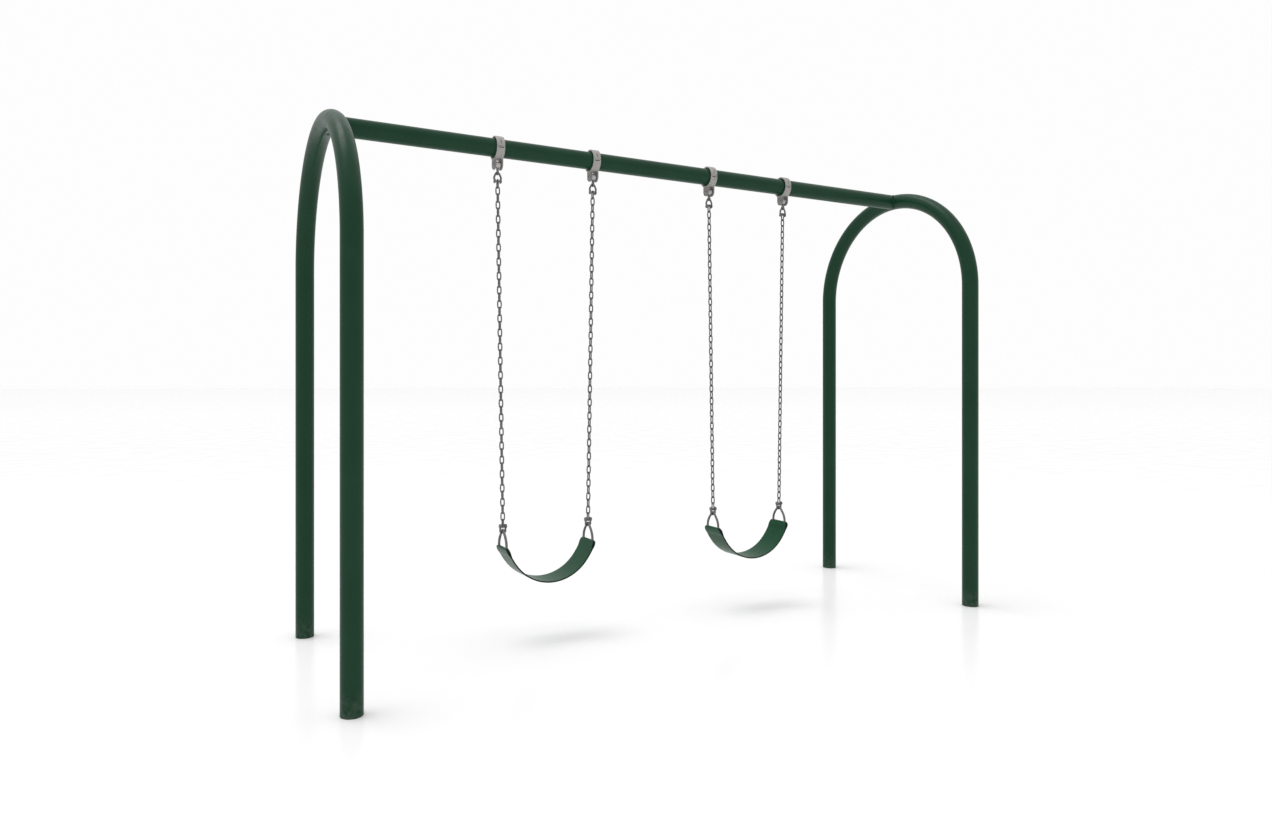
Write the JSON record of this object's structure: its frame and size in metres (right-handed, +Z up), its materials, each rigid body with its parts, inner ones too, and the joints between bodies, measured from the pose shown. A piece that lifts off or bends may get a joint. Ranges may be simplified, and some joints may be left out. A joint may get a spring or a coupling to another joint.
{
  "type": "swing set",
  "caption": "Arch-post playground swing frame: two bent-pipe arches joined by a top rail, with belt seats hung on chains from pipe-clamp hangers.",
  "frame": {"origin": "on the ground at the middle of the frame, halfway between the arches and between the legs", "axes": "+X along the top rail from the left arch to the right one, +Y from front to back, +Z up"},
  "size_m": [3.542, 1.2548, 2.4734],
  "materials": {
    "powder_coat": "dark green powder coat with a fine orange peel, satin",
    "clamp_casting": "galvanised ductile casting, matt with a fine sand grain",
    "fastener": "zinc-plated steel, satin",
    "bronze": "sintered bronze bearing, oiled",
    "galvanised": "hot-dip galvanised forged steel, dull with a faint spangle",
    "belt_rubber": "moulded green rubber, matt with a fine grain"
  },
  "bodies": {
    "frame": {"arch_left": "powder_coat", "arch_right": "powder_coat", "top_rail": "powder_coat", "rail_spigot_left": "fastener", "rail_spigot_right": "fastener", "clamp_cap_1l": "clamp_casting", "clamp_yoke_1l": "clamp_casting", "clamp_screw_front_1l": "fastener", "clamp_screw_back_1l": "fastener", "pivot_bolt_1l": "fastener", "clamp_cap_1r": "clamp_casting", "clamp_yoke_1r": "clamp_casting", "clamp_screw_front_1r": "fastener", "clamp_screw_back_1r": "fastener", "pivot_bolt_1r": "fastener", "clamp_cap_2l": "clamp_casting", "clamp_yoke_2l": "clamp_casting", "clamp_screw_front_2l": "fastener", "clamp_screw_back_2l": "fastener", "pivot_bolt_2l": "fastener", "clamp_cap_2r": "clamp_casting", "clamp_yoke_2r": "clamp_casting", "clamp_screw_front_2r": "fastener", "clamp_screw_back_2r": "fastener", "pivot_bolt_2r": "fastener"},
    "hangers_1": {"pendulum_1l": "galvanised", "pendulum_1r": "galvanised", "pivot_bush_1l": "bronze", "pivot_bush_1r": "bronze"},
    "suspension_1l": {"upper_shackle_1l": "galvanised", "upper_pin_1l": "fastener", "chain_1l": "galvanised"},
    "suspension_1r": {"upper_shackle_1r": "galvanised", "upper_pin_1r": "fastener", "chain_1r": "galvanised"},
    "foot_1l": {"lower_shackle_1l": "galvanised", "lower_pin_1l": "fastener"},
    "foot_1r": {"lower_shackle_1r": "galvanised", "lower_pin_1r": "fastener"},
    "seat_1": {"belt_seat_1": "belt_rubber", "triangle_1l": "galvanised", "triangle_1r": "galvanised"},
    "hangers_2": {"pendulum_2l": "galvanised", "pendulum_2r": "galvanised", "pivot_bush_2l": "bronze", "pivot_bush_2r": "bronze"},
    "suspension_2l": {"upper_shackle_2l": "galvanised", "upper_pin_2l": "fastener", "chain_2l": "galvanised"},
    "suspension_2r": {"upper_shackle_2r": "galvanised", "upper_pin_2r": "fastener", "chain_2r": "galvanised"},
    "foot_2l": {"lower_shackle_2l": "galvanised", "lower_pin_2l": "fastener"},
    "foot_2r": {"lower_shackle_2r": "galvanised", "lower_pin_2r": "fastener"},
    "seat_2": {"belt_seat_2": "belt_rubber", "triangle_2l": "galvanised", "triangle_2r": "galvanised"}
  },
  "joints": [
    {"name": "swing_1", "type": "hinge", "parent": "frame", "child": "hangers_1", "pos_m": [-0.661, 0, 2.3345], "axis": [1, 0, 0], "range_deg": [-65, 65]},
    {"name": "sway_1l", "type": "hinge", "parent": "hangers_1", "child": "suspension_1l", "pos_m": [-0.92075, 0, 2.28506], "axis": [0, 1, 0], "range_deg": [-10, 10]},
    {"name": "sway_1r", "type": "hinge", "parent": "hangers_1", "child": "suspension_1r", "pos_m": [-0.40125, 0, 2.28506], "axis": [0, 1, 0], "range_deg": [-10, 10]},
    {"name": "tilt_1l", "type": "hinge", "parent": "suspension_1l", "child": "foot_1l", "pos_m": [-0.893, 0, 0.5735], "axis": [1, 0, 0], "range_deg": [-45, 45]},
    {"name": "tilt_1r", "type": "hinge", "parent": "suspension_1r", "child": "foot_1r", "pos_m": [-0.429, 0, 0.5735], "axis": [1, 0, 0], "range_deg": [-45, 45]},
    {"name": "level_1", "type": "hinge", "parent": "foot_1l", "child": "seat_1", "pos_m": [-0.893, 0, 0.5545], "axis": [0, 1, 0], "range_deg": [-11.5, 11.5]},
    {"name": "swing_2", "type": "hinge", "parent": "frame", "child": "hangers_2", "pos_m": [0.58, 0, 2.3345], "axis": [1, 0, 0], "range_deg": [-65, 65]},
    {"name": "sway_2l", "type": "hinge", "parent": "hangers_2", "child": "suspension_2l", "pos_m": [0.32025, 0, 2.28506], "axis": [0, 1, 0], "range_deg": [-10, 10]},
    {"name": "sway_2r", "type": "hinge", "parent": "hangers_2", "child": "suspension_2r", "pos_m": [0.83975, 0, 2.28506], "axis": [0, 1, 0], "range_deg": [-10, 10]},
    {"name": "tilt_2l", "type": "hinge", "parent": "suspension_2l", "child": "foot_2l", "pos_m": [0.348, 0, 0.5735], "axis": [1, 0, 0], "range_deg": [-45, 45]},
    {"name": "tilt_2r", "type": "hinge", "parent": "suspension_2r", "child": "foot_2r", "pos_m": [0.812, 0, 0.5735], "axis": [1, 0, 0], "range_deg": [-45, 45]},
    {"name": "level_2", "type": "hinge", "parent": "foot_2l", "child": "seat_2", "pos_m": [0.348, 0, 0.5545], "axis": [0, 1, 0], "range_deg": [-11.5, 11.5]}
  ],
  "couplings": [
    {"joint": "sway_1r", "follows": "sway_1l", "ratio": 1},
    {"joint": "level_1", "follows": "sway_1l", "ratio": -1.1196},
    {"joint": "tilt_1r", "follows": "tilt_1l", "ratio": 1},
    {"joint": "sway_2r", "follows": "sway_2l", "ratio": 1},
    {"joint": "level_2", "follows": "sway_2l", "ratio": -1.1196},
    {"joint": "tilt_2r", "follows": "tilt_2l", "ratio": 1}
  ]
}
